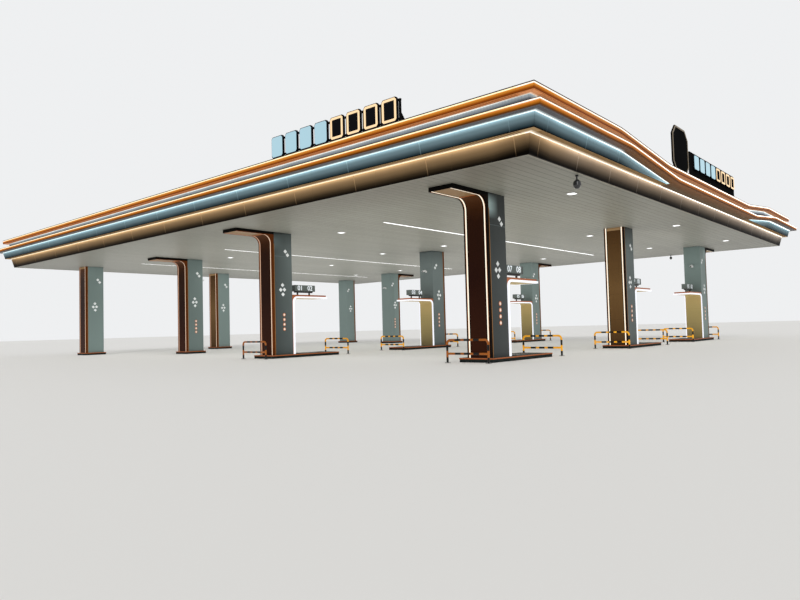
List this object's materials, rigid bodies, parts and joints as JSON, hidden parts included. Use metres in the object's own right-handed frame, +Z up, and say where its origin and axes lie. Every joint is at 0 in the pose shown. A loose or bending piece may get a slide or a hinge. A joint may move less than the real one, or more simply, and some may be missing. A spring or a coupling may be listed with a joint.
{
  "type": "filling station canopy",
  "caption": "Flat filling station roof with a stepped, lit fascia that dips in a wave on its short sides, on clad columns with lit panels, kerbed islands, low arches and guard hoops.",
  "frame": {"origin": "middle of the plan on the ground, under the middle of the roof", "axes": "+X along the front, towards the short side nearer in the picture; +Y from the front to the back; +Z up"},
  "size_m": [39.326, 33.026, 9.1],
  "materials": {
    "ceiling_white": "satin, in long boards",
    "frame_grey": "matt primer",
    "roof_metal": "satin, ribbed",
    "wall_grey": "matt",
    "edge_cream": "satin",
    "skirt_champagne": "satin, darker towards the bottom",
    "band_blue": "satin, darker towards the bottom",
    "band_orange": "satin, lit from its top edge",
    "band_pale": "satin, ribbed",
    "underside_tan": "satin, ribbed",
    "underside_grey": "satin, ribbed",
    "underside_brown": "satin, ribbed",
    "light_warm": "lit diffuser",
    "light_white": "lit diffuser",
    "cladding_grey": "satin panels",
    "box_black": "gloss",
    "face_brown": "gloss",
    "trim_bronze": "satin",
    "trim_copper": "satin",
    "face_tan": "satin",
    "fitting_grey": "satin",
    "fitting_black": "satin",
    "kerb_dark": "matt, dark concrete",
    "hoop_yellow": "gloss with black bands",
    "tile_pale": "lit blank tiles"
  },
  "bodies": {
    "root": {"ceiling_deck": "ceiling_white", "roof_frame": "frame_grey", "roof_sheets": "roof_metal", "ridge_cap": "roof_metal", "roof_gutters": "roof_metal", "parapet_wall": "wall_grey", "ceiling_edge_trim": "edge_cream", "skirt_band": "skirt_champagne", "blue_band": "band_blue", "lower_band": "band_orange", "pale_band": "band_pale", "upper_band": "band_orange", "blue_band_underside": "underside_tan", "lower_band_underside": "underside_grey", "upper_band_underside": "underside_brown", "skirt_light_line": "light_warm", "blue_light_line": "light_warm", "lower_light_line": "light_warm", "upper_light_line": "light_warm", "strip_lights": "light_white", "square_lights": "light_white", "square_light_frames": "ceiling_white", "columns": "cladding_grey", "panel_boxes": "box_black", "panel_bends": "box_black", "panel_arms": "box_black", "panel_faces": "face_brown", "panel_light_lines": "light_warm", "panel_trims": "trim_bronze", "arch_posts": "trim_copper", "arch_bends": "trim_copper", "arch_arms": "trim_copper", "arch_faces": "face_tan", "arch_light_lines": "light_white", "number_boxes": "fitting_grey", "number_box_rails": "fitting_black", "fuelling_islands": "kerb_dark", "column_plinths": "kerb_dark", "kerb_trims": "trim_copper", "dispenser_base_plates": "frame_grey", "guard_hoops": "hoop_yellow", "dome_cameras": "fitting_black", "column_cameras": "fitting_grey", "front_sign_frame": "fitting_black", "front_sign_tiles": "tile_pale", "side_sign_board": "fitting_black", "side_sign_tiles": "tile_pale"}
  },
  "joints": []
}
